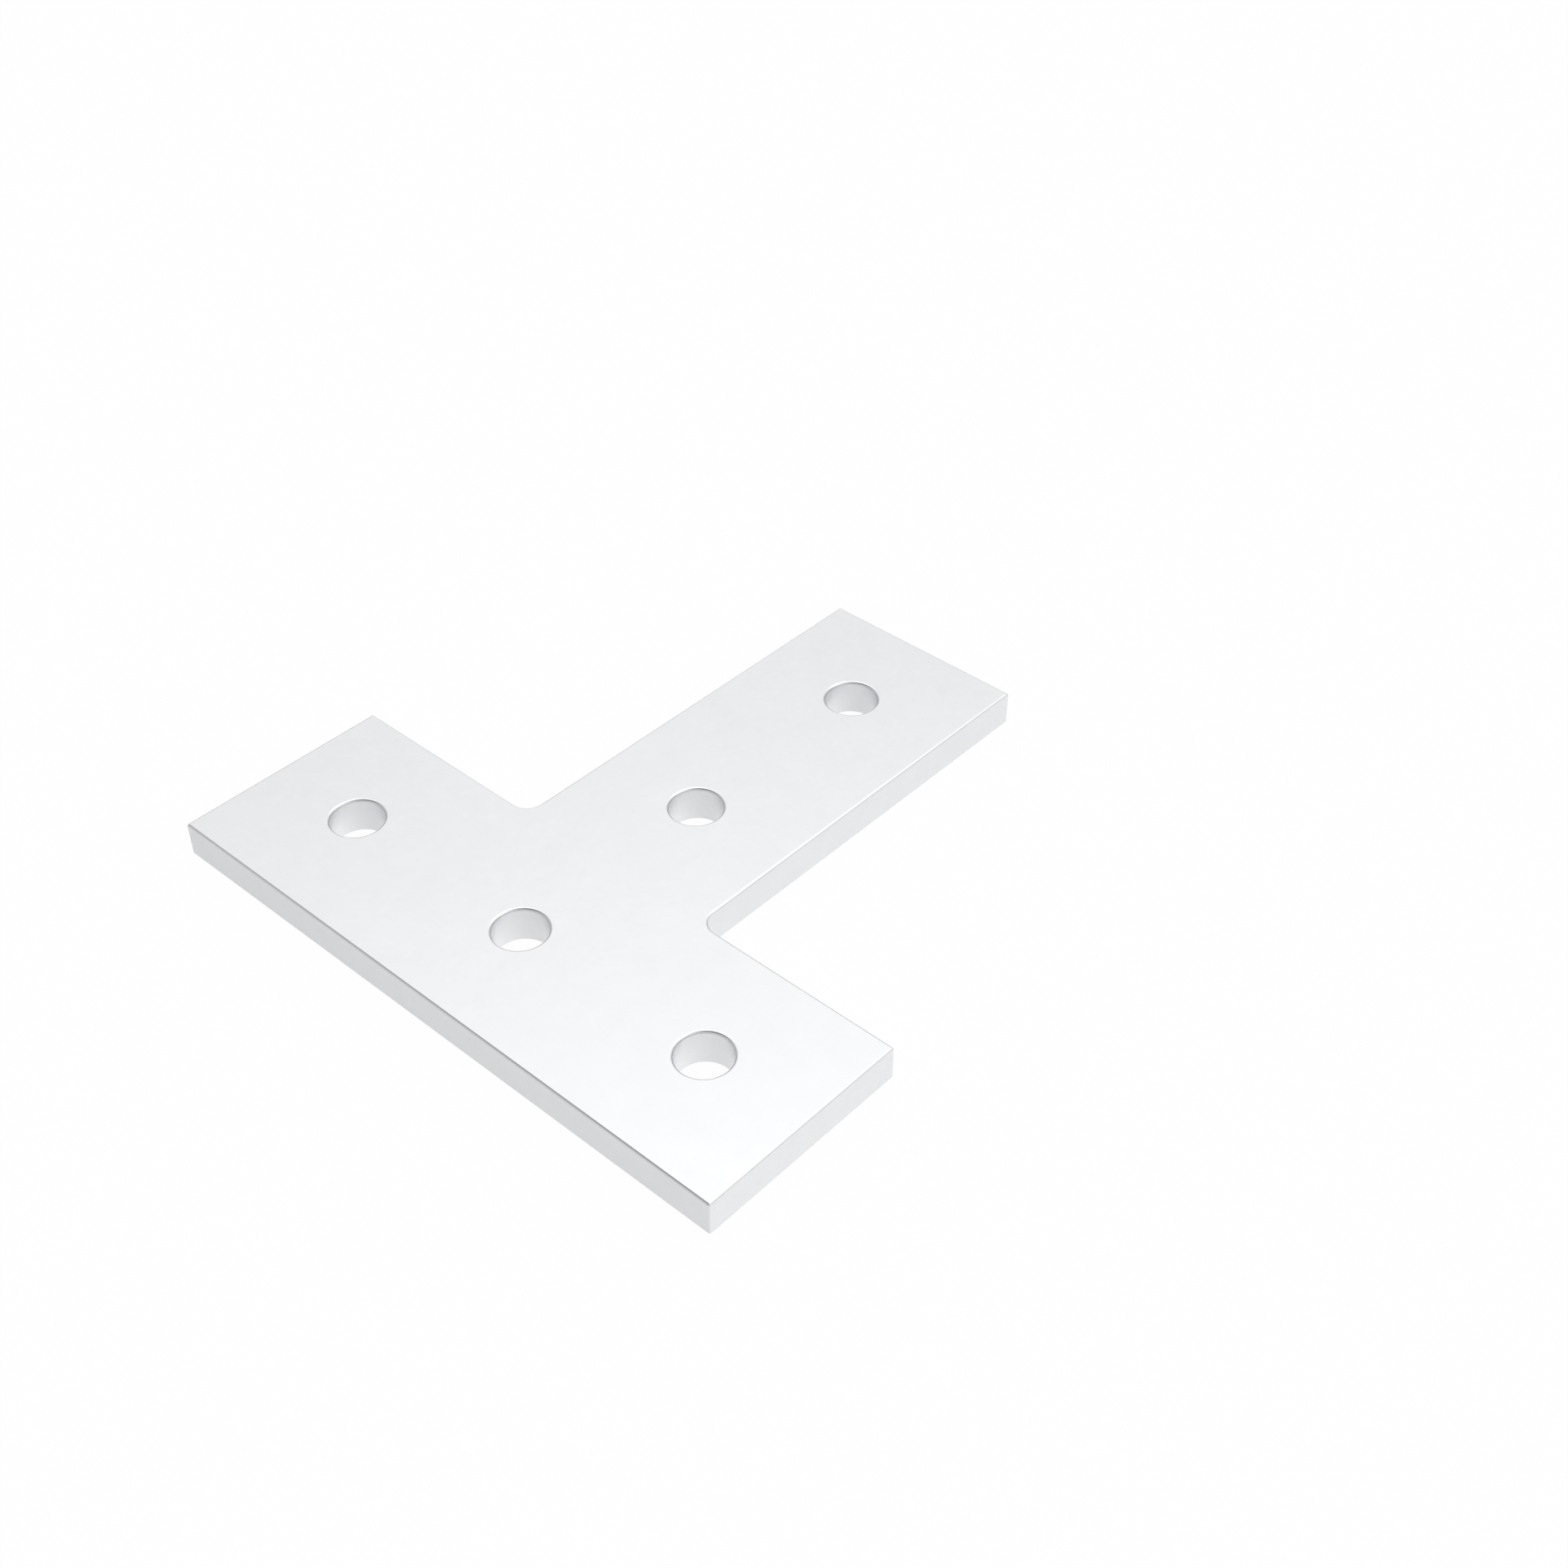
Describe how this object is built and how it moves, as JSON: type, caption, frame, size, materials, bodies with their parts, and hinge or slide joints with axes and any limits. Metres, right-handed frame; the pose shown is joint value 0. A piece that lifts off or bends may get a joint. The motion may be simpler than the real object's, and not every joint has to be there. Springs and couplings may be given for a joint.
{
  "type": "extrusion joining plate",
  "caption": "Flat tee-shaped plate with a row of bolt holes along each arm, which joins slotted aluminium extrusions at a tee.",
  "frame": {"origin": "axis of the junction hole, where the centre lines of the crossbar and the stem cross, on the mating face", "axes": "+X along the crossbar, +Y along the stem, +Z out of the outer face, away from the extrusions"},
  "size_m": [0.09, 0.09, 0.005],
  "materials": {
    "joining_plate": "satin, clear anodised"
  },
  "bodies": {
    "root": {"joining_plate": "joining_plate"}
  },
  "joints": []
}
